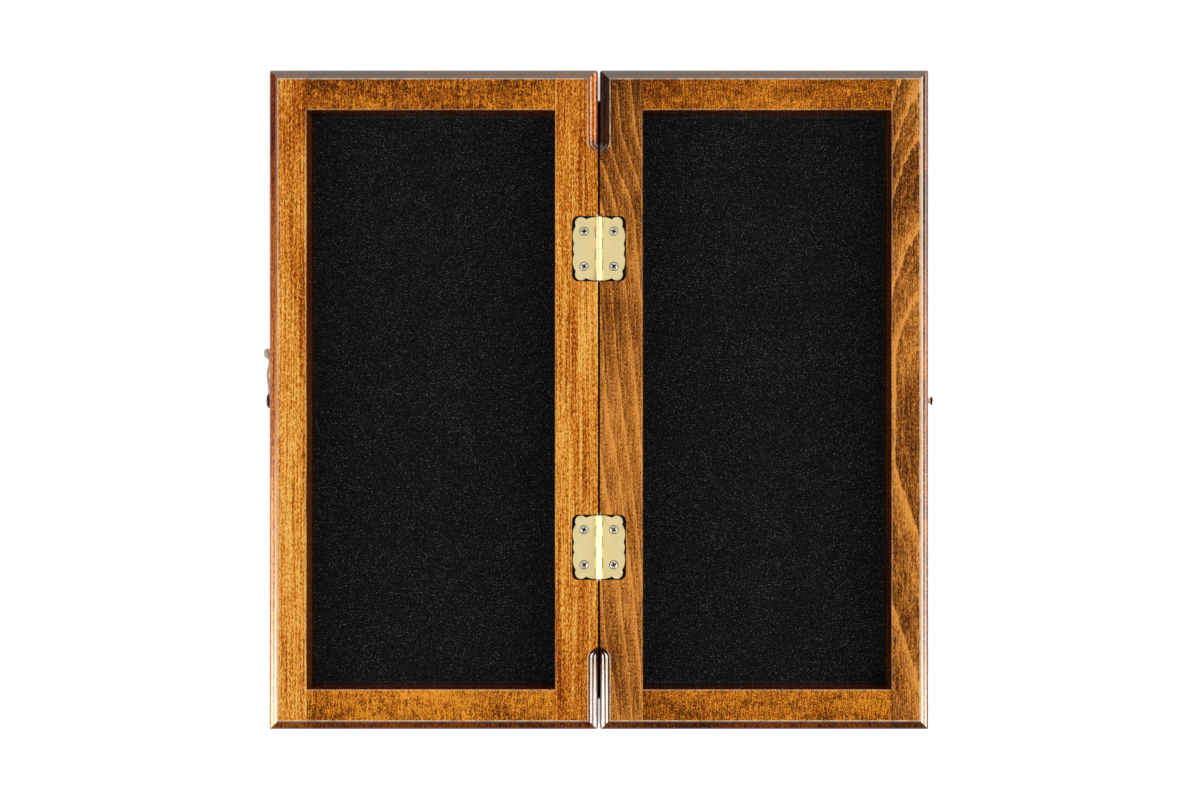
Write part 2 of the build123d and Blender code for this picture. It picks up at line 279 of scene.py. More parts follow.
# A span is where a mask of the wood begins and ends, in millimetres or in shares of one
RIM_SPAN = (rim_height - 0.06, rim_height - 0.04)
MOULDING_FOOT_SPAN = (moulding_foot - 0.3, moulding_foot + 0.3)
MOULDING_EDGE_SPAN = (MOULDING_WIDTH + 0.1, MOULDING_WIDTH + 0.2)
END_SPAN = (-0.1, 0.1)
STEEP_SPAN = (0.30, 0.80)
TRAY_INNER_SPAN = (tray_inner - 0.12, tray_inner - 0.02)
TRAY_OUTER_SPAN = (tray_outer + 0.02, tray_outer + 0.12)
TRAY_END_SPAN = (tray_half_length + 0.02, tray_half_length + 0.12)
TRAY_TOP_SPAN = (rim_height - 0.6, rim_height - 0.3)
RECESS_SIDE_SPAN = (RECESS_REACH - 0.1, RECESS_REACH)
RECESS_TOP_SPAN = (rim_height - 0.5, rim_height - 0.4)
RECESS_FLOOR_SPAN = (20.0, 20.5)
FOLD_SIDE_SPAN = (20.0, 21.0)
LEFT_HALF_SPAN = (0.0, -1.0)
REAR_HALF_SPAN = (0.0, 1.0)
RUN_OUT_SPAN = (moulding_stop, moulding_stop + 1.5)
RUN_OUT_SIDE_SPAN = (6.0, 7.0)
COVE_SPAN = (2.8, 3.2)
BEAD_START_SPAN = (0.3, 0.5)
BEAD_END_SPAN = (2.3, 2.6)

# A run is a strength that changes: (from, to, strength at from, strength at to)
# These runs set the strengths of painted light and shade
SIDE_LIGHT_RUN = (-20.0, 130.0, 0.0, 1.0)
REAR_REFLECTION_RUN = (0.0, 1.0, 0.0, 0.55)
RUN_OUT_RUN = (-1.0, 1.0, 1.0, 0.6)
COVE_HIGHLIGHT_RIGHT_RUN = (100.0, 110.0, 0.0, 0.65)
COVE_HIGHLIGHT_FRONT_RUN = (40.0, -120.0, 0.1, 0.6)
# Strength of the painted glare on the bead at the front of the fold
FOLD_GLARE_RUN = (-140.0, -124.0, 0.75, 0.0)
ARRIS_RUN = (0.35, 0.60, 0.35, 0.85)
OPENING_ARRIS_SHARE = 0.55

# Tints multiply the wood's colour, and paints cover it. All of them are painted light and shade.
# Painted light and shade on the moulding: lighter towards the front, painted shade towards the
# rear, on the fold and along the ends, and a painted glow on the left fold at the rear
FRONT_SIDE_LIGHT_TINT = (255, 232, 176)
REAR_SIDE_SHADE_TINT = (182, 142, 104)
FOLD_SHADE_TINT = (150, 126, 104)
GOLDEN_FOLD_LIGHT_TINT = (255, 222, 150)
END_SHADE_TINT = (150, 128, 106)
# Painted shade on the steep faces of the moulding
STEEP_SHADE_TINT = (176, 150, 130)
# Painted shade in the run-outs of the cutter
RUN_OUT_SHADE_TINT = (84, 56, 40)
# Painted shade on the walls inside the trays
TRAY_WALL_SHADE_TINT = (150, 124, 92)
# Painted reflection of a grey wall on the rear end of the moulding
REAR_REFLECTION_PAINT = (118, 104, 94)
# Painted highlight in the cove of the outer moulding
COVE_HIGHLIGHT_PAINT = (252, 224, 180)
# Painted glare on the bead at the front of the fold
FOLD_GLARE_PAINT = (226, 216, 206)
# Painted shade in the hinge recesses
RECESS_SHADE_PAINT = (22, 12, 6)
# Painted highlight on the arrises
ARRIS_HIGHLIGHT_PAINT = (250, 216, 176)

# Gloss lacquer over wood. Reliefs in millimetres.
LACQUER = {
    "Coat_Weight": 1.0,
    "Coat_Roughness": 0.05,
    "Coat_IOR": 1.75,
    "Specular_IOR_Level": 0.0,
}
WOOD_ROUGHNESS = 0.5
WOOD_RELIEF = 0.012
LACQUER_RELIEF = 0.03
LACQUER_WAVES = Layer((0.12, 0.05, 0.12), step=3, detail=2)
# Noise that makes the painted arris highlight uneven
ARRIS_HIGHLIGHT_BREAKS = Layer((0.25, 0.25, 0.25), step=7, detail=3)


def inside_tray(shader, across, along):
    """1 on the walls of the trays, where painted shade darkens the wood, 0 on the rim and the
    outside.
    """
    return shader.product(
        shader.remap(across, *TRAY_INNER_SPAN),
        shader.fall(across, *TRAY_OUTER_SPAN),
        shader.fall(along, *TRAY_END_SPAN),
        shader.fall(shader.z, *TRAY_TOP_SPAN),
    )


def inside_recess(shader, across):
    """1 in the recesses of the hinges, which are painted dark as shade."""
    reach = RECESS_HALF_LENGTH - NEAR_BLEND
    return shader.product(
        shader.math("MAXIMUM", *[shader.near(shader.y, middle, reach) for middle in hinge_middles]),
        shader.fall(across, *RECESS_SIDE_SPAN),
        shader.fall(shader.z, *RECESS_TOP_SPAN),
        shader.remap(shader.z, *RECESS_FLOOR_SPAN),
    )


def edge_distances(shader, across, along):
    """Distance inwards from the nearer side and from the end.

    The fold side counts where it is moulded, with the round of the cutter at the stop.
    """
    from_fold = shader.math("MAXIMUM", shader.math("SUBTRACT", across, fold_face), 0.0)
    past_stop = shader.math("MINIMUM", shader.math("SUBTRACT", along, moulding_stop), 0.0)
    squares = [shader.math("MULTIPLY", part, part) for part in (from_fold, past_stop)]
    fold = shader.math("SQRT", shader.math("ADD", *squares))
    outer = shader.math("SUBTRACT", half_reach, across)
    return shader.math("MINIMUM", outer, fold), shader.math("SUBTRACT", half_reach, along)


def arrises(shader, across, along, edge):
    """Painted highlights: thin pale lines along the moulding and round the trays, uneven in
    strength.
    """
    inner = tray_inner - ARRIS_LINE
    outer = tray_outer + ARRIS_LINE
    beside_tray = shader.fall(along, tray_half_length, tray_half_length + ARRIS_LINE)
    between_stiles = shader.product(
        shader.remap(across, inner, tray_inner),
        shader.fall(across, tray_outer, outer),
    )
    sides = shader.math(
        "MAXIMUM",
        shader.near(across, inner, OPENING_REACH),
        shader.near(across, outer, OPENING_REACH),
    )
    ends = shader.near(along, tray_half_length + ARRIS_LINE, OPENING_REACH)
    opening = shader.math(
        "MAXIMUM",
        shader.math("MULTIPLY", beside_tray, sides),
        shader.math("MULTIPLY", between_stiles, ends),
    )
    line = shader.math(
        "MAXIMUM",
        shader.near(edge, MOULDING_WIDTH + ARRIS_LINE, ARRIS_REACH),
        shader.math("MULTIPLY", opening, OPENING_ARRIS_SHARE),
    )
    highlight_breaks = shader.remap(shader.noise(ARRIS_HIGHLIGHT_BREAKS), *ARRIS_RUN)
    return shader.product(shader.remap(shader.z, *RIM_SPAN), line, highlight_breaks)


def moulding_light_tint(shader, across, along, at_end, at_fold):
    """Painted light and shade that multiply the wood's colour on the moulding, by the side that it
    is on: lighter at the front and on the rear of the left fold, and painted shade at the rear, on
    the fold, along the ends, on steep faces and in the run-outs of the cutter.
    """
    sides = shader.mix(
        shader.remap(shader.y, *SIDE_LIGHT_RUN), srgb(*FRONT_SIDE_LIGHT_TINT), srgb(*REAR_SIDE_SHADE_TINT)
    )
    golden = shader.product(
        shader.remap(shader.x, *LEFT_HALF_SPAN), shader.remap(shader.y, *REAR_HALF_SPAN)
    )
    fold = shader.mix(golden, srgb(*FOLD_SHADE_TINT), srgb(*GOLDEN_FOLD_LIGHT_TINT))
    tint = shader.paint(at_end, shader.mix(at_fold, sides, fold), END_SHADE_TINT)
    # Painted shade on steep faces
    steep_shade = shader.fall(shader.level, *STEEP_SPAN)
    tint = shader.mix(steep_shade, tint, shader.multiply(tint, srgb(*STEEP_SHADE_TINT)))
    # Painted shade in the run-outs of the cutter
    run_out_shade = shader.product(
        shader.fall(along, *RUN_OUT_SPAN),
        shader.fall(across, *RUN_OUT_SIDE_SPAN),
        shader.remap(shader.y, *RUN_OUT_RUN),
    )
    return shader.paint(run_out_shade, tint, RUN_OUT_SHADE_TINT)


def painted_moulding(shader, colour, across, along, side, end):
    """The colour with painted light on the moulding: painted shade over it, a painted reflection at
    its rear end, a painted highlight in its cove and a painted glare on the bead at the front of
    the fold.
    """
    edge = shader.math("MINIMUM", side, end)
    moulding = shader.product(
        shader.fall(shader.z, *RIM_SPAN),
        shader.remap(shader.z, *MOULDING_FOOT_SPAN),
        shader.fall(edge, *MOULDING_EDGE_SPAN),
    )
    at_end = shader.fall(shader.math("SUBTRACT", end, side), *END_SPAN)
    at_side = shader.math("SUBTRACT", 1.0, at_end)
    at_fold = shader.fall(across, *FOLD_SIDE_SPAN)
    tint = moulding_light_tint(shader, across, along, at_end, at_fold)
    colour = shader.mix(moulding, colour, shader.multiply(colour, tint))
    # Painted reflection of a grey wall on the moulding's rear end
    rear_reflection = shader.product(moulding, at_end, shader.remap(shader.y, *REAR_REFLECTION_RUN))
    colour = shader.paint(rear_reflection, colour, REAR_REFLECTION_PAINT)
    # Painted highlight in the cove, towards the right and the front
    towards_light = shader.math(
        "MAXIMUM",
        shader.remap(shader.x, *COVE_HIGHLIGHT_RIGHT_RUN),
        shader.remap(shader.y, *COVE_HIGHLIGHT_FRONT_RUN),
    )
    cove_highlight = shader.product(
        moulding,
        towards_light,
        shader.remap(edge, *COVE_SPAN),
        at_side,
        shader.math("SUBTRACT", 1.0, at_fold),
    )
    colour = shader.paint(cove_highlight, colour, COVE_HIGHLIGHT_PAINT)
    # Painted glare on the bead at the front of the fold
    fold_glare = shader.product(
        moulding,
        at_fold,
        shader.remap(edge, *BEAD_START_SPAN),
        shader.fall(edge, *BEAD_END_SPAN),
        shader.remap(shader.y, *FOLD_GLARE_RUN),
        at_side,
    )
    return shader.paint(fold_glare, colour, FOLD_GLARE_PAINT)


def lacquered(shader, colour, relief):
    """Gloss lacquer over stained wood, with painted light and shade on the moulding, the tray
    walls, the hinge recesses and the arrises.
    """
    across = shader.math("ABSOLUTE", shader.x)
    along = shader.math("ABSOLUTE", shader.y)
    side, end = edge_distances(shader, across, along)
    colour = painted_moulding(shader, colour, across, along, side, end)
    # Painted shade on the walls inside the trays
    wall = shader.multiply(colour, srgb(*TRAY_WALL_SHADE_TINT))
    colour = shader.mix(inside_tray(shader, across, along), colour, wall)
    # Painted shade in the hinge recesses
    colour = shader.paint(inside_recess(shader, across), colour, RECESS_SHADE_PAINT)
    # Painted highlight on the arrises
    arris_highlight = arrises(shader, across, along, shader.math("MINIMUM", side, end))
    colour = shader.paint(arris_highlight, colour, ARRIS_HIGHLIGHT_PAINT)
    waves = shader.bump(shader.noise(LACQUER_WAVES), LACQUER_RELIEF)
    return shader.finish(colour, WOOD_ROUGHNESS, shader.bump(relief, WOOD_RELIEF, waves))


# Straight-grained wood in a light honey stain
HONEY_TONE = 0.55
HONEY_LAYERS = {
    "fibre": Layer((1.35, 0.022, 1.35), detail=2, roughness=0.6, weight=1.9),
    "bands": Layer((0.42, 0.004, 0.42), step=1, detail=2, weight=0.5),
    "speck": Layer((2.2, 0.75, 2.2), step=2, detail=1, roughness=0.7, weight=2.2),
    "cloud": Layer((0.06, 0.014, 0.06), step=3, detail=3, weight=0.8),
}
HONEY_FLECKS = Layer((1.8, 0.13, 1.8), step=4, detail=1)
HONEY_FLECK_SPAN = (0.58, 0.74)
HONEY_FLECK_DEPTH = 0.30
HONEY_COLOURS = (
    (0.00, (110, 44, 2)),
    (0.30, (188, 92, 6)),
    (0.58, (228, 132, 24)),
    (1.00, (255, 198, 96)),
)


def honey_wood(name, seed, stain):
    """The left stiles, grain along Y. stain is how much lighter they are along Y."""
    shader = Shader(name, **LACQUER)
    noises, tone = shader.layered(seed, HONEY_TONE, HONEY_LAYERS)
    tone = shader.math("ADD", tone, shader.graph(shader.y, stain))
    flecks = shader.remap(shader.noise(HONEY_FLECKS, seed), *HONEY_FLECK_SPAN)
    tone = shader.less(tone, flecks, HONEY_FLECK_DEPTH)
    return lacquered(shader, shader.ramp(tone, *HONEY_COLOURS), noises["fibre"])


# The same wood in a darker stain, with pale growth rings
FIGURED_TONE = 0.28
FIGURED_LAYERS = {
    "fibre": Layer((1.5, 0.07, 1.5), detail=3, roughness=0.7, weight=1.7),
    "speck": Layer((2.4, 0.9, 2.4), step=2, detail=1, roughness=0.7, weight=1.9),
    "cloud": Layer((0.045, 0.02, 0.045), step=3, detail=2, weight=1.1),
}
FIGURED_COLOURS = (
    (0.00, (64, 28, 4)),
    (0.30, (124, 66, 14)),
    (0.55, (178, 102, 28)),
    (0.95, (240, 160, 70)),
)
RING_FRAY = Layer((0.9, 0.10, 0.9), step=5, detail=3, roughness=0.65)
RING_STRENGTH = Layer((0.02, 0.014, 0.02), step=7, detail=1)
RING_FADE_RUN = (0.35, 0.65, 6.5, 2.5)
RING_START_SPAN = (0.0, 0.02)
FAINT_RINGS_BETWEEN = 3.0
FAINT_RING_FADE = 4.0
FAINT_RING_SHARE = 0.34
RING_SHARE_OFF_RIM = 0.3
RING_TOP_RUN = (rim_height - 0.3, rim_height - 0.06, RING_SHARE_OFF_RIM, 1.0)
RING_FOOT_RUN = (moulding_foot - 1.2, moulding_foot, 1.0, RING_SHARE_OFF_RIM)
# A darker patch near the rear end of the right fold stile
DARK_PATCH = Layer((0.5, 0.5, 0.5), step=8, detail=2)
DARK_PATCH_SPAN = (0.40, 0.55)
DARK_PATCH_PLACE = 7.0
DARK_PATCH_REACH = 3.6
DARK_PATCH_END_SPAN = (145.0, 148.5)
DARK_PATCH_DEPTH = 0.5


def figured_wood(name, seed, stain, rings, contrast):
    """The right stiles, grain along Y. stain is how much lighter they are along Y.

    rings(shader, fray) counts the rings. Each is pale just past a whole number and fades.
    contrast is how much paler they are.
    """
    shader = Shader(name, **LACQUER)
    noises, tone = shader.layered(seed, FIGURED_TONE, FIGURED_LAYERS)
    count = rings(shader, shader.math("SUBTRACT", shader.noise(RING_FRAY, seed), 0.5))
    after = shader.math("FRACT", count)
    fade = shader.remap(shader.noise(RING_STRENGTH, seed), *RING_FADE_RUN)
    glow = shader.math("POWER", shader.math("SUBTRACT", 1.0, after), fade)
    glow = shader.math("MULTIPLY", glow, shader.remap(after, *RING_START_SPAN))
    between = shader.math("FRACT", shader.math("MULTIPLY", count, FAINT_RINGS_BETWEEN))
    faint = shader.math("POWER", shader.math("SUBTRACT", 1.0, between), FAINT_RING_FADE)
    glow = shader.math("MAXIMUM", glow, shader.math("MULTIPLY", faint, FAINT_RING_SHARE))
    off_moulding = shader.math(
        "MAXIMUM",
        shader.remap(shader.z, *RING_TOP_RUN),
        shader.remap(shader.z, *RING_FOOT_RUN),
    )
    glow = shader.math("MULTIPLY", glow, off_moulding)
    dark_patch = shader.product(
        shader.near(shader.x, DARK_PATCH_PLACE, DARK_PATCH_REACH),
        shader.remap(shader.y, *DARK_PATCH_END_SPAN),
        shader.remap(shader.noise(DARK_PATCH, seed), *DARK_PATCH_SPAN),
    )
    tone = shader.math("ADD", tone, shader.graph(shader.y, stain))
    tone = shader.math("ADD", tone, shader.math("MULTIPLY", glow, contrast))
    tone = shader.less(tone, dark_patch, DARK_PATCH_DEPTH)
    return lacquered(shader, shader.ramp(tone, *FIGURED_COLOURS), noises["fibre"])


# Growth rings of the right outer stile: flames that bow at the rear and lean at the front
FLAME_BOW = 34.0
FLAME_LEAN = 52.0
FLAME_FRAY = 11.0
FLAME_SHIFT_WITH_DEPTH = 5.0
# Ring counts, by place in millimetres towards the rear and towards the front
REAR_RINGS = (
    (-40.0, 0.2), (16.0, 1.0), (47.5, 2.0), (91.0, 3.0), (113.0, 4.0), (136.5, 5.0), (160.0, 6.0),
)
FRONT_RINGS = ((-30.0, 0.0), (26.0, 0.8), (94.0, 1.8), (150.0, 2.8))


def outer_rings(shader, fray):
    """Flames that rise from the tray towards the outer edge, away from the middle."""
    across = shader.remap(shader.x, tray_outer, half_reach)
    inwards = shader.math("SUBTRACT", 1.0, across)
    bow = shader.math("SUBTRACT", 1.0, shader.math("POWER", inwards, 2.0))
    depth = shader.math("SUBTRACT", rim_height, shader.z)
    uneven = shader.math(
        "ADD",
        shader.math("MULTIPLY", fray, FLAME_FRAY),
        shader.math("MULTIPLY", depth, FLAME_SHIFT_WITH_DEPTH),
    )
    rear = shader.less(shader.y, bow, FLAME_BOW)
    front = shader.less(shader.math("MULTIPLY", shader.y, -1.0), across, FLAME_LEAN)
    return shader.math(
        "ADD",
        shader.graph(shader.math("ADD", rear, uneven), REAR_RINGS, smooth=False),
        shader.graph(shader.math("ADD", front, uneven), FRONT_RINGS, smooth=False),
    )


# Growth rings of the right fold stile
FOLD_RING_LEAN = 0.11
FOLD_RING_LEAN_START = 150.0
FOLD_RING_TURN_RUN = (132.0, 82.0, 0.0, 10.0)
FOLD_RING_SHIFT_WITH_DEPTH = 0.7
FOLD_RING_DRIFT = Layer((0.05, 0.007, 0.05), step=39, detail=1, weight=15.0)
FOLD_RING_FRAY = 1.8
FOLD_RING_SPACING = 7.0
FOLD_RING_FIRST = 9.0


def fold_rings(shader, fray):
    """Long lines that lean outwards towards the front, and bend away near the rear."""
    lean = shader.math("SUBTRACT", FOLD_RING_LEAN_START, shader.y)
    lean = shader.math("MULTIPLY", lean, FOLD_RING_LEAN)
    turn = shader.remap(shader.y, *FOLD_RING_TURN_RUN, smooth=True)
    field = shader.math("SUBTRACT", shader.math("ADD", lean, turn), shader.x)
    depth = shader.math("SUBTRACT", rim_height, shader.z)
    shift = shader.math("MULTIPLY", depth, FOLD_RING_SHIFT_WITH_DEPTH)
    field = shader.math("ADD", field, shift)
    field = shader.total(field, (shader.noise(FOLD_RING_DRIFT), FOLD_RING_DRIFT.weight))
    field = shader.math("ADD", field, shader.math("MULTIPLY", fray, FOLD_RING_FRAY))
    return shader.math("ADD", shader.math("DIVIDE", field, FOLD_RING_SPACING), FOLD_RING_FIRST)


# Mottled wood in an amber stain, with short marks across the rail and darker outer edges
AMBER_TONE = 0.60
AMBER_LAYERS = {
    "marks": Layer((1.6, 0.18, 1.6), detail=3, roughness=0.7, weight=2.4),
    "speck": Layer((2.4, 1.2, 2.4), step=2, detail=1, roughness=0.7, weight=2.7),
    "cloud": Layer((0.04, 0.06, 0.05), step=3, detail=2, weight=0.9),
    "curl": Layer((0.14, 0.4, 0.3), step=4, detail=2, distortion=0.6, weight=0.8),
}
AMBER_EDGE_SPAN = (tray_half_length + 2.0, half_reach - 4.0)
AMBER_EDGE_DEPTH = 0.14
AMBER_COLOURS = (
    (0.02, (84, 36, 2)),
    (0.32, (150, 74, 4)),
    (0.58, (202, 110, 8)),
    (0.96, (250, 164, 48)),
)


def amber_wood(name, seed, stain):
    """The rails, along X. stain is how much lighter they are along X."""
    shader = Shader(name, **LACQUER)
    noises, tone = shader.layered(seed, AMBER_TONE, AMBER_LAYERS)
    tone = shader.math("ADD", tone, shader.graph(shader.x, stain))
    along = shader.math("ABSOLUTE", shader.y)
    edge = shader.remap(along, *AMBER_EDGE_SPAN, smooth=True)
    tone = shader.less(tone, edge, AMBER_EDGE_DEPTH)
    return lacquered(shader, shader.ramp(tone, *AMBER_COLOURS), noises["marks"])


VENEER_TONE = 0.55
VENEER_LAYERS = {
    "fibre": Layer((1.6, 0.06, 1.6), detail=3, roughness=0.6, weight=0.7),
    "rings": Layer((0.18, 0.004, 0.18), step=1, detail=3, distortion=0.4, weight=0.9),
}
VENEER_PORES = Layer((2.6, 0.35, 2.6), step=2, detail=1)
VENEER_PORE_SPAN = (0.60, 0.72)
VENEER_PORE_DEPTH = 0.22
VENEER_PORE_RELIEF = -0.03
VENEER_GLOSS_RUN = (0.3, 0.7, 0.25, 0.38)
VENEER_RAMP = (0.15, 0.85)


def veneer(name, seed, dark, light):
    """Sliced veneer under satin lacquer, grain along Y."""
    shader = Shader(
        name, Coat_Weight=0.4, Coat_Roughness=0.18, Coat_IOR=1.5, Specular_IOR_Level=0.3
    )
    noises, tone = shader.layered(seed, VENEER_TONE, VENEER_LAYERS)
    pores = shader.remap(shader.noise(VENEER_PORES, seed), *VENEER_PORE_SPAN)
    tone = shader.less(tone, pores, VENEER_PORE_DEPTH)
    return shader.finish(
        shader.ramp(tone, *zip(VENEER_RAMP, (dark, light))),
        shader.remap(noises["fibre"], *VENEER_GLOSS_RUN),
        shader.bump(pores, VENEER_PORE_RELIEF),
    )


PLYWOOD_FIBRE = Layer((1.2, 0.06, 8.0), step=40, detail=3, weight=0.6)
PLY_WAVES = 4.7
PLY_WEIGHT = 0.5
PLYWOOD_TONE = 0.5
PLYWOOD_COLOURS = ((0.2, (150, 110, 66)), (0.8, (206, 172, 120)))
PLYWOOD_TOP_SPAN = (0.4, 0.6)
PLYWOOD_TOP_PAINT = (16, 10, 7)
PLYWOOD_ROUGHNESS = 0.7
PLYWOOD_RELIEF = 0.05


def plywood():
    """Thin plywood, black on top, where the felt is glued."""
    shader = Shader("birch_plywood", Specular_IOR_Level=0.3)
    fibre = shader.noise(PLYWOOD_FIBRE)
    plies = shader.math("SINE", shader.math("MULTIPLY", shader.z, PLY_WAVES))
    plies = shader.remap(plies, -1, 1)
    tone = shader.total(PLYWOOD_TONE, (fibre, PLYWOOD_FIBRE.weight), (plies, PLY_WEIGHT))
    colour = shader.ramp(tone, *PLYWOOD_COLOURS)
    top = shader.remap(shader.level, *PLYWOOD_TOP_SPAN)
    colour = shader.paint(top, colour, PLYWOOD_TOP_PAINT)
    return shader.finish(colour, PLYWOOD_ROUGHNESS, shader.bump(fibre, PLYWOOD_RELIEF))


METAL_TONE = 0.62
BRUSHING = Layer((0.5, 4.0, 0.5), detail=3, roughness=0.7, weight=0.35)
CROSSWISE_BRUSHING = BRUSHING._replace(stretch=(2.0, 0.6, 2.0))
TARNISH = Layer((0.25, 0.25, 0.25), step=1, detail=3, weight=0.4)
FAINT_TARNISH = TARNISH._replace(weight=0.25)
SCRATCHES = Layer((6.0, 0.5, 6.0), step=2, detail=1)
SCRATCH_SPAN = (0.66, 0.74)
SCRATCH_DEPTH = 0.1
METAL_RAMP = (0.2, 0.8)
METAL_BLACK = (10, 9, 8)
POLISH_SPAN = (0.3, 0.7)
POLISH_CHANGE = (-0.01, 0.02)
BRUSHING_RELIEF = 0.006


def metal(
    name, dark, light, roughness, seed, brushing=BRUSHING, tarnish=TARNISH, shade=None, **constants
):
    """Metal with fine brushing, faint tarnish clouds and a slightly uneven polish.

    shade(shader) is how much of the surface is blackened.
    """
    shader = Shader(name, **constants)
    layers = {"brushing": brushing, "tarnish": tarnish}
    noises, tone = shader.layered(seed, METAL_TONE, layers)
    scratches = shader.remap(shader.noise(SCRATCHES, seed), *SCRATCH_SPAN)
    tone = shader.less(tone, scratches, SCRATCH_DEPTH)
    colour = shader.ramp(tone, *zip(METAL_RAMP, (dark, light)))
    if shade:
        colour = shader.paint(shade(shader), colour, METAL_BLACK)
    polish = [roughness + change for change in POLISH_CHANGE]
    return shader.finish(
        colour,
        shader.remap(noises["tarnish"], *POLISH_SPAN, *polish),
        shader.bump(noises["brushing"], BRUSHING_RELIEF),
    )


FELT_TONE = 0.0
FELT_LAYERS = {
    "fuzz": Layer((1.5, 1.5, 1.5), step=50, detail=2, roughness=0.8, weight=2.8),
    "cloud": Layer((0.05, 0.05, 0.05), step=52, detail=2, weight=0.2),
}
FELT_GLINT_TIPS = Layer((2.1, 2.1, 2.1), step=51, detail=2, roughness=0.75)
FELT_TIP_SPAN = (0.54, 0.76)
FELT_TIP_HEIGHT = 0.5
# The palest colour is the painted glint on the fibre tips
FELT_COLOURS = ((0.05, (0, 0, 0)), (0.45, (7, 7, 8)), (1.0, (146, 146, 149)))
FELT_ROUGHNESS = 0.95
FELT_RELIEF = 0.35


def felt_cloth():
    """Black felt: matted fibres whose raised tips are painted paler, as painted glints."""
    shader = Shader(
        "black_felt_cloth", Sheen_Weight=0.12, Sheen_Roughness=0.6, Specular_IOR_Level=0.0
    )
    noises, tone = shader.layered(0, FELT_TONE, FELT_LAYERS)
    glint_tips = shader.remap(shader.noise(FELT_GLINT_TIPS), *FELT_TIP_SPAN)
    colour = shader.ramp(shader.math("ADD", tone, glint_tips), *FELT_COLOURS)
    height = shader.math("MULTIPLY", glint_tips, FELT_TIP_HEIGHT)
    height = shader.math("ADD", noises["fuzz"], height)
    return shader.finish(colour, FELT_ROUGHNESS, shader.bump(height, FELT_RELIEF))


# How much lighter the stain is along each member, by place in millimetres
OUTER_STAIN = ((-130.0, 0.17), (-60.0, 0.13), (0.0, 0.05), (110.0, -0.10))
FOLD_STAIN = ((-140.0, -0.15), (-60.0, 0.09), (40.0, 0.11), (130.0, -0.09))
DARK_OUTER_STAIN = ((-130.0, -0.02), (0.0, 0.18), (110.0, -0.04))
DARK_FOLD_STAIN = ((-130.0, 0.20), (0.0, 0.26), (60.0, 0.13), (140.0, -0.10))
RAIL_STAINS = {
    "left_rear": ((-150.0, -0.30), (-80.0, -0.14), (-20.0, -0.04)),
    "left_front": ((-140.0, -0.15), (-85.0, 0.22), (-25.0, -0.03)),
    "right_rear": ((20.0, -0.31), (80.0, -0.04), (140.0, -0.22)),
    "right_front": ((20.0, -0.34), (80.0, -0.02), (140.0, 0.02)),
}
RAIL_FIRST_SEED = 45
RAIL_SEED_STEP = 6
woods = {
    "left_outer_stile": honey_wood("honey_outer", seed=1, stain=OUTER_STAIN),
    "left_fold_stile": honey_wood("honey_fold", seed=14, stain=FOLD_STAIN),
    "right_outer_stile": figured_wood(
        "walnut_outer", seed=21, stain=DARK_OUTER_STAIN, rings=outer_rings, contrast=0.82
    ),
    "right_fold_stile": figured_wood(
        "walnut_fold", seed=33, stain=DARK_FOLD_STAIN, rings=fold_rings, contrast=0.56
    ),
}
for index, (place, stain) in enumerate(RAIL_STAINS.items()):
    seed = RAIL_FIRST_SEED + RAIL_SEED_STEP * index
    woods[f"{place}_rail"] = amber_wood(f"amber_{place}", seed, stain)

light_veneer = veneer(
    "light_veneer_wood", seed=60, dark=(176, 128, 72), light=(222, 184, 124)
)
dark_veneer = veneer("dark_veneer_wood", seed=70, dark=(52, 24, 10), light=(104, 56, 26))
birch = plywood()
felt_material = felt_cloth()

brass = metal(
    "satin_brass", dark=(238, 214, 148), light=(255, 240, 184), roughness=0.30, seed=80,
    tarnish=FAINT_TARNISH, Metallic=0.35,
)
wire = metal(
    "pin_wire", dark=(120, 104, 64), light=(176, 154, 100), roughness=0.5, seed=88,
    Metallic=0.1, Specular_IOR_Level=0.2,
)
bright_steel = metal(
    "zinc_steel", dark=(168, 162, 146), light=(212, 206, 190), roughness=0.28, seed=92,
    Metallic=0.3,
)
painted_slot_shadow = metal(
    "slot_shadow", dark=(2, 2, 2), light=(8, 7, 6), roughness=0.8, seed=98,
    Specular_IOR_Level=0.0,
)
# The hook is black near its eye, and the catch screw on its outer face. The rest of the catch screw
# is near white, a painted reflection on its shank.
HOOK_BLACK_SPAN = (pivot_high.y, pivot_high.y + 1.5)
CATCH_BLACK_SPAN = (catch_high.x - 1.0, catch_high.x - 0.9)
latch_metal = metal(
    "latch_nickel", dark=(122, 114, 102), light=(206, 198, 184), roughness=0.25, seed=84,
    brushing=CROSSWISE_BRUSHING, Metallic=0.3,
    shade=lambda shader: shader.fall(shader.y, *HOOK_BLACK_SPAN),
)
dark_steel = metal(
    "oxide_steel", dark=(10, 9, 8), light=(24, 22, 20), roughness=0.4, seed=96,
    Metallic=0.0, Specular_IOR_Level=0.2,
)
pivot_steel = metal(
    "pivot_steel", dark=(200, 196, 188), light=(240, 238, 232), roughness=0.3, seed=99,
    Metallic=0.2,
)
catch_steel_painted_reflection = metal(
    "catch_steel_painted_reflection", dark=(206, 200, 192), light=(244, 240, 234), roughness=0.5, seed=97,
    Metallic=0.0, Specular_IOR_Level=0.1,
    shade=lambda shader: shader.remap(shader.x, *CATCH_BLACK_SPAN),
)

WELD_REACH = 0.001
BEVEL_SEGMENTS = 2
BEVEL_ANGLE = 32


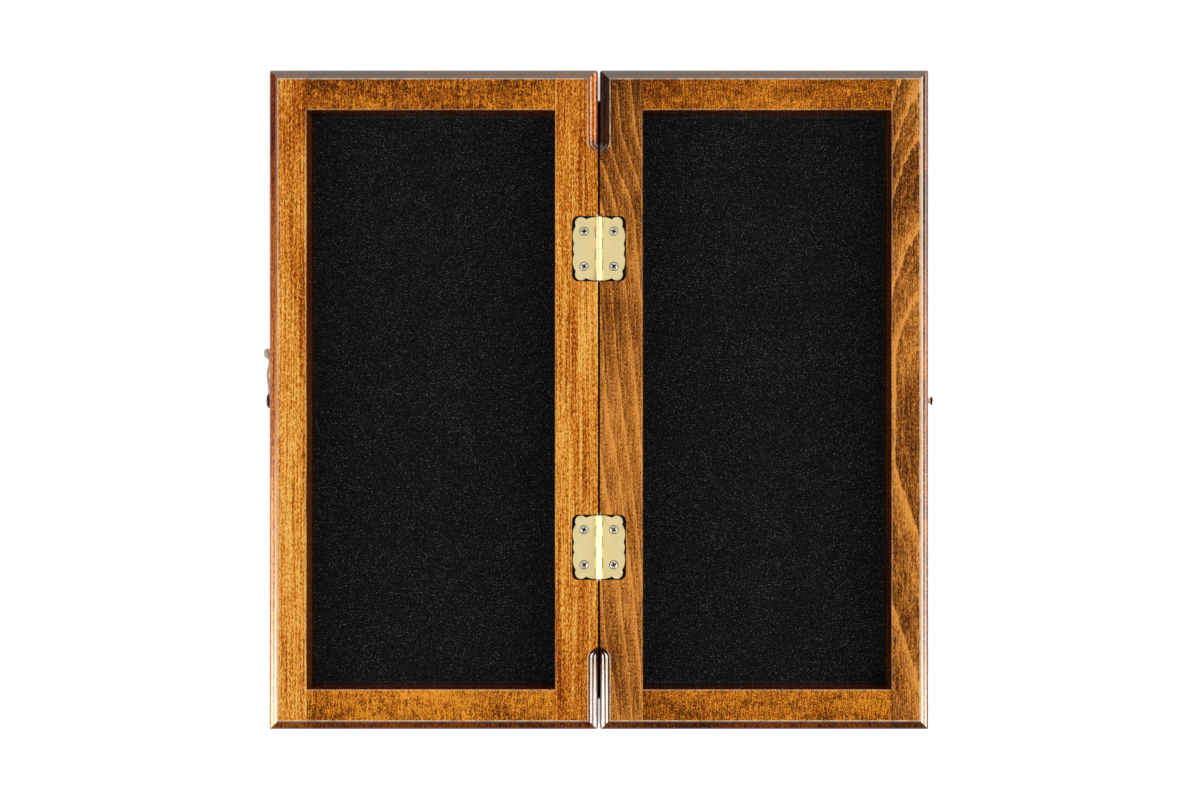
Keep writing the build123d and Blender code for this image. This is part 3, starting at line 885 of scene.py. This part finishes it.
def dress(name, material, edge=0.0):
    """Give a CAD node its material and, with edge in millimetres, rounded edges."""
    node = nodes[name]
    node.data.materials.clear()
    node.data.materials.append(material)
    if edge:
        weld = node.modifiers.new("weld", "WELD")
        weld.merge_threshold = WELD_REACH * MM
        bevel = node.modifiers.new("eased_edges", "BEVEL")
        bevel.width = edge * MM
        bevel.segments = BEVEL_SEGMENTS
        bevel.limit_method = "ANGLE"
        bevel.angle_limit = math.radians(BEVEL_ANGLE)
        bevel.harden_normals = True
        bevel.use_clamp_overlap = False


for name, material in woods.items():
    dress(name, material)
for hand in HANDS:
    dress(f"{hand}_panel", birch)
    dress(f"{hand}_light_squares", light_veneer)
    dress(f"{hand}_dark_squares", dark_veneer)
    dress(f"{hand}_border", dark_veneer)
    dress(f"{hand}_stringing", light_veneer)
    for place in PLACES:
        dress(f"{place}_hinge_{hand}_leaf", brass)
for place in PLACES:
    dress(f"{place}_hinge_pin", wire)
dress("latch_hook", latch_metal, edge=0.18)
dress("latch_knob", latch_metal, edge=0.35)
dress("latch_washer", dark_steel, edge=0.1)
dress("latch_pivot_screw", pivot_steel, edge=0.25)
dress("catch_screw", catch_steel_painted_reflection, edge=0.25)

# Cross-head screws of the hinges, in place of their plain solids. Lengths in millimetres.
# CROSS_RISE is the share of its depth by which a slot is shallower at its end.
HEAD_RADIUS = 2.08
HEAD_RINGS = (0.10, 0.24, 0.42, 0.62, 0.84, 1.06, 1.26, 1.46, 1.66, 1.84, 1.98, HEAD_RADIUS)
HEAD_STEPS = 48
HEAD_DOME = 0.32
HEAD_EDGE_DEPTH = 0.12
HEAD_BASE_DEPTH = 1.0
# The edge ring of each head is black, a painted shadow of the gap round it
HEAD_SHADOW_EDGE = 0.22
CROSS_REACH = 1.18
CROSS_HALF_WIDTH = 0.30
CROSS_DEPTH = 0.75
CROSS_RISE = 0.5
SUNK_DEPTH = 0.15
SHANK_RADIUS = 1.1
SCREW_OUT = 7.0
SCREW_ALONG = 8.3
SCREW_TURN = 37.0


def head_level(top, radius, angle):
    """Height of a head, a dome with a cross sunk into it, at a place on it."""
    dome = HEAD_DOME * (1 - (radius / HEAD_RADIUS) ** 2)
    across = abs(radius * math.cos(angle))
    along = abs(radius * math.sin(angle))
    if max(along, across) < CROSS_REACH and min(along, across) < CROSS_HALF_WIDTH:
        return top + dome - CROSS_DEPTH * (1 - max(along, across) / CROSS_REACH * CROSS_RISE)
    return top + dome


def screw_head(shape, x, y, turn, top, bottom):
    """Add one screw to the shape. The slots and the edge of the head take the second material,
    black as painted shadow.
    """

    def corner(radius, step, level=None):
        angle = step * 2 * math.pi / HEAD_STEPS
        if level is None:
            level = head_level(top, radius, angle)
        out = radius * math.cos(angle + turn)
        along = radius * math.sin(angle + turn)
        return shape.verts.new(((x + out) * MM, (y + along) * MM, level * MM))

    middle = shape.verts.new((x * MM, y * MM, (top + HEAD_DOME - CROSS_DEPTH) * MM))
    circles = [(radius, None) for radius in HEAD_RINGS]
    circles += [
        (HEAD_RADIUS, top - HEAD_EDGE_DEPTH),
        (SHANK_RADIUS, top - HEAD_BASE_DEPTH),
        (SHANK_RADIUS, bottom),
    ]
    loops = [
        [corner(radius, step, level) for step in range(HEAD_STEPS)] for radius, level in circles
    ]
    for step in range(HEAD_STEPS):
        after = (step + 1) % HEAD_STEPS
        face = shape.faces.new((middle, loops[0][step], loops[0][after]))
        face.material_index = 1
        for inner, outer in zip(loops, loops[1:]):
            face = shape.faces.new((inner[step], outer[step], outer[after], inner[after]))
            centre = face.calc_center_median()
            radius = math.hypot(centre.x / MM - x, centre.y / MM - y)
            dome = top + HEAD_DOME * (1 - (radius / HEAD_RADIUS) ** 2)
            sunk = centre.z / MM < dome - SUNK_DEPTH
            face.material_index = int(sunk or radius > HEAD_RADIUS - HEAD_SHADOW_EDGE)
            face.smooth = not sunk
    shape.faces.new(loops[-1])


def finished_piece(shape, name, *materials):
    """An object in the scene with the shape as its mesh."""
    bmesh.ops.recalc_face_normals(shape, faces=shape.faces)
    mesh = bpy.data.meshes.new(name)
    shape.to_mesh(mesh)
    shape.free()
    for material in materials:
        mesh.materials.append(material)
    piece = bpy.data.objects.new(name, mesh)
    scene.collection.objects.link(piece)
    return piece


def screw_heads(hand, side):
    """All the hinge screws of one half."""
    shape = bmesh.new()
    for index, middle in enumerate(hinge_middles):
        for end in (-1, 1):
            turn = math.radians(SCREW_TURN * (index * 2 + (end > 0) + side))
            x, y = side * SCREW_OUT, middle + end * SCREW_ALONG
            screw_head(shape, x, y, turn, screw_high.z, screw_low.z)
    piece = finished_piece(shape, f"{hand}_screw_heads", bright_steel, painted_slot_shadow)
    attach(piece, f"{hand}_half")
    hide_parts(f"{hand}_hinge_screws")


for hand, side in HANDS.items():
    screw_heads(hand, side)

# Felt sheets, laid on the panels. Lengths in millimetres.
FELT_STEP = 1.6
FELT_NAP = 0.10
FELT_RIM_DROP = 0.25
# Waves of the nap: (waves in a millimetre, share)
NAP_WAVES = ((0.45, 0.6), (0.11, 0.4))


def felt_sheet(hand):
    """A cut sheet with a soft nap and rounded edges, inside the space of its CAD solid."""
    low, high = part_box(f"{hand}_felt")
    width, length = high.x - low.x, high.y - low.y
    columns, rows = round(width / MM / FELT_STEP), round(length / MM / FELT_STEP)
    shape = bmesh.new()
    grid = []
    for row in range(rows + 1):
        line = []
        for column in range(columns + 1):
            x = low.x + width * column / columns
            y = low.y + length * row / rows
            spot = Vector((x, y, 0)) / MM
            nap = sum(noise.noise(spot * pace) * share for pace, share in NAP_WAVES)
            rim = column in (0, columns) or row in (0, rows)
            drop = FELT_RIM_DROP * MM if rim else 0.0
            z = high.z - FELT_NAP * MM * (1 + nap) - drop
            line.append(shape.verts.new((x, y, z)))
        grid.append(line)
    for lower, upper in zip(grid, grid[1:]):
        for column in range(columns):
            after = column + 1
            shape.faces.new((lower[column], lower[after], upper[after], upper[column]))
    right_side = [line[-1] for line in grid[1:]]
    left_side = [line[0] for line in grid[-2:0:-1]]
    loop = grid[0] + right_side + grid[-1][-2::-1] + left_side
    feet = [shape.verts.new((corner.co.x, corner.co.y, low.z)) for corner in loop]
    for index, corner in enumerate(loop):
        after = (index + 1) % len(loop)
        shape.faces.new((corner, feet[index], feet[after], loop[after]))
    shape.faces.new(feet[::-1])
    sheet = finished_piece(shape, f"{hand}_felt_sheet", felt_material)
    sheet.data.shade_smooth()
    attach(sheet, f"{hand}_half")
    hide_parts(f"{hand}_felt")


for hand in HANDS:
    felt_sheet(hand)

FLOOR_REACH = 6.0
FLOOR_DIFFUSE = (0.82, 0.82, 0.82, 1)
FLOOR_GLOW = (0.62, 0.62, 0.62, 1)
# The gap at the fold, in millimetres from the middle
GAP_REACH = 2.5
GAP_HALF_LENGTH = 144.0


def floor_material():
    """White, except in the gap at the fold, where the floor is in the dark."""
    material = bpy.data.materials.new("studio_floor")
    material.use_nodes = True
    tree = Tree(material.node_tree)
    place = tree.split(tree.node("ShaderNodeTexCoord").outputs["Object"])
    beyond = [
        tree.math("GREATER_THAN", tree.math("ABSOLUTE", value), reach * MM)
        for value, reach in zip(place, (GAP_REACH, GAP_HALF_LENGTH))
    ]
    rays = tree.node("ShaderNodeLightPath")
    seen = tree.math("SUBTRACT", 1.0, rays.outputs["Is Diffuse Ray"])
    glow = tree.node("ShaderNodeEmission")
    glow.inputs["Color"].default_value = FLOOR_GLOW
    tree.put(glow.inputs["Strength"], tree.product(seen, tree.math("MAXIMUM", *beyond)))
    diffuse = tree.node("ShaderNodeBsdfDiffuse")
    diffuse.inputs["Color"].default_value = FLOOR_DIFFUSE
    both = tree.node("ShaderNodeAddShader")
    tree.put(both.inputs[0], diffuse.outputs[0])
    tree.put(both.inputs[1], glow.outputs[0])
    tree.put(tree.node("ShaderNodeOutputMaterial").inputs["Surface"], both.outputs[0])
    return material


floor_corners = ((-1, -1), (1, -1), (1, 1), (-1, 1))
floor_mesh = bpy.data.meshes.new("studio_floor")
floor_mesh.from_pydata(
    [(x * FLOOR_REACH, y * FLOOR_REACH, 0) for x, y in floor_corners], [], [(0, 1, 2, 3)]
)
floor_mesh.materials.append(floor_material())
floor = bpy.data.objects.new("studio_floor", floor_mesh)
scene.collection.objects.link(floor)

# White studio surroundings. Reflections also show a tall white panel on each side, a grey
# wall at the rear and darkness in front and overhead. Places are parts of a direction.
PANEL_START_SPAN = (0.44, 0.52)
PANEL_END_SPAN = (0.93, 0.98)
PANEL_FRONT_SPAN = (-0.50, -0.40)
PANEL_REAR_SPAN = (0.40, 0.55)
PANEL_FOOT_SPAN = (0.12, 0.22)
PANEL_SLANT_RUN = (-0.15, 0.15, -0.10, 0.10)
# Strength of each panel by the direction's y, front to rear
PANEL_RIGHT = ((-0.15, 13.0), (-0.09, 8.0), (0.0, 5.5), (0.15, 5.0))
PANEL_LEFT = ((-0.14, 14.0), (-0.06, 4.5), (0.0, 0.6), (0.10, 0.1))
REAR_WALL_RUN = (0.22, 0.42, 0.0, 1.3)
HORIZON_RUN = (0.30, 0.05, 0.0, 0.5)
OVERHEAD = 0.08
WORLD_FILL = 0.22
WHITE = (1.0, 1.0, 1.0, 1.0)
WARM = (1.0, 0.92, 0.80, 1.0)


def studio_world():
    """Plain white to the camera, a dim fill for the diffuse light, and panels for reflections."""
    world = bpy.data.worlds.new("studio")
    world.use_nodes = True
    sky = Tree(world.node_tree)
    x, y, z = sky.split(sky.node("ShaderNodeTexCoord").outputs["Generated"])
    slant = sky.remap(y, *PANEL_SLANT_RUN)
    panels = []
    for sign, strengths in ((1, PANEL_RIGHT), (-1, PANEL_LEFT)):
        across = sky.math("MULTIPLY", x, sign)
        panels.append(
            sky.product(
                sky.remap(sky.math("SUBTRACT", across, slant), *PANEL_START_SPAN),
                sky.fall(across, *PANEL_END_SPAN),
                sky.remap(y, *PANEL_FRONT_SPAN),
                sky.fall(y, *PANEL_REAR_SPAN),
                sky.remap(z, *PANEL_FOOT_SPAN),
                sky.graph(y, strengths),
            )
        )
    walls = sky.math("MAXIMUM", sky.remap(y, *REAR_WALL_RUN), sky.remap(z, *HORIZON_RUN))
    mirrored = sky.math("ADD", OVERHEAD, sky.math("ADD", *panels))
    mirrored = sky.math("ADD", mirrored, walls)
    rays = sky.node("ShaderNodeLightPath").outputs
    glossy = rays["Is Glossy Ray"]
    plain = sky.math("MULTIPLY", sky.math("SUBTRACT", 1.0, glossy), WORLD_FILL)
    seen = sky.math("MAXIMUM", rays["Is Camera Ray"], rays["Is Transmission Ray"])
    strength = sky.math("ADD", sky.math("MULTIPLY", glossy, mirrored), plain)
    background = sky.node("ShaderNodeBackground")
    sky.put(background.inputs["Color"], sky.mix(glossy, WHITE, WARM))
    sky.put(background.inputs["Strength"], sky.math("MAXIMUM", strength, seen))
    sky.put(sky.node("ShaderNodeOutputWorld").inputs[0], background.outputs[0])
    return world


scene.world = studio_world()

SOFTBOX_AIM = Vector((0, 0, 0.02))


def softbox(name, place, size, radiance):
    """A rectangular lamp aimed at the board. size is (width, height) in metres."""
    lamp = bpy.data.lights.new(name, "AREA")
    lamp.shape = "RECTANGLE"
    lamp.size, lamp.size_y = size
    lamp.energy = radiance * math.pi * size[0] * size[1]
    lamp_box = bpy.data.objects.new(name, lamp)
    lamp_box.location = place
    lamp_box.rotation_euler = (SOFTBOX_AIM - Vector(place)).to_track_quat("-Z", "Y").to_euler()
    lamp_box.visible_camera = False
    lamp_box.visible_glossy = False
    scene.collection.objects.link(lamp_box)


softbox("right_softbox", place=(0.80, 0.10, 0.95), size=(0.5, 1.3), radiance=4.2)
softbox("left_softbox", place=(-0.80, -0.15, 0.95), size=(0.5, 1.2), radiance=4.0)

# Camera straight above, at the photograph's distance
CAMERA_HEIGHT = 1.015
CAMERA_X = 0.0005
CAMERA_Y = -0.0001
FRAME_WIDTH_AT_RIM = 0.5654
SENSOR = 36.0
camera_data = bpy.data.cameras.new("camera")
camera_data.sensor_width = SENSOR
camera_data.lens = SENSOR * CAMERA_HEIGHT / FRAME_WIDTH_AT_RIM
camera_data.clip_start = 0.01
camera = bpy.data.objects.new("camera", camera_data)
camera.location = (CAMERA_X, CAMERA_Y, rim_height * MM + CAMERA_HEIGHT)
scene.collection.objects.link(camera)
scene.camera = camera

scene.view_settings.view_transform = "Standard"
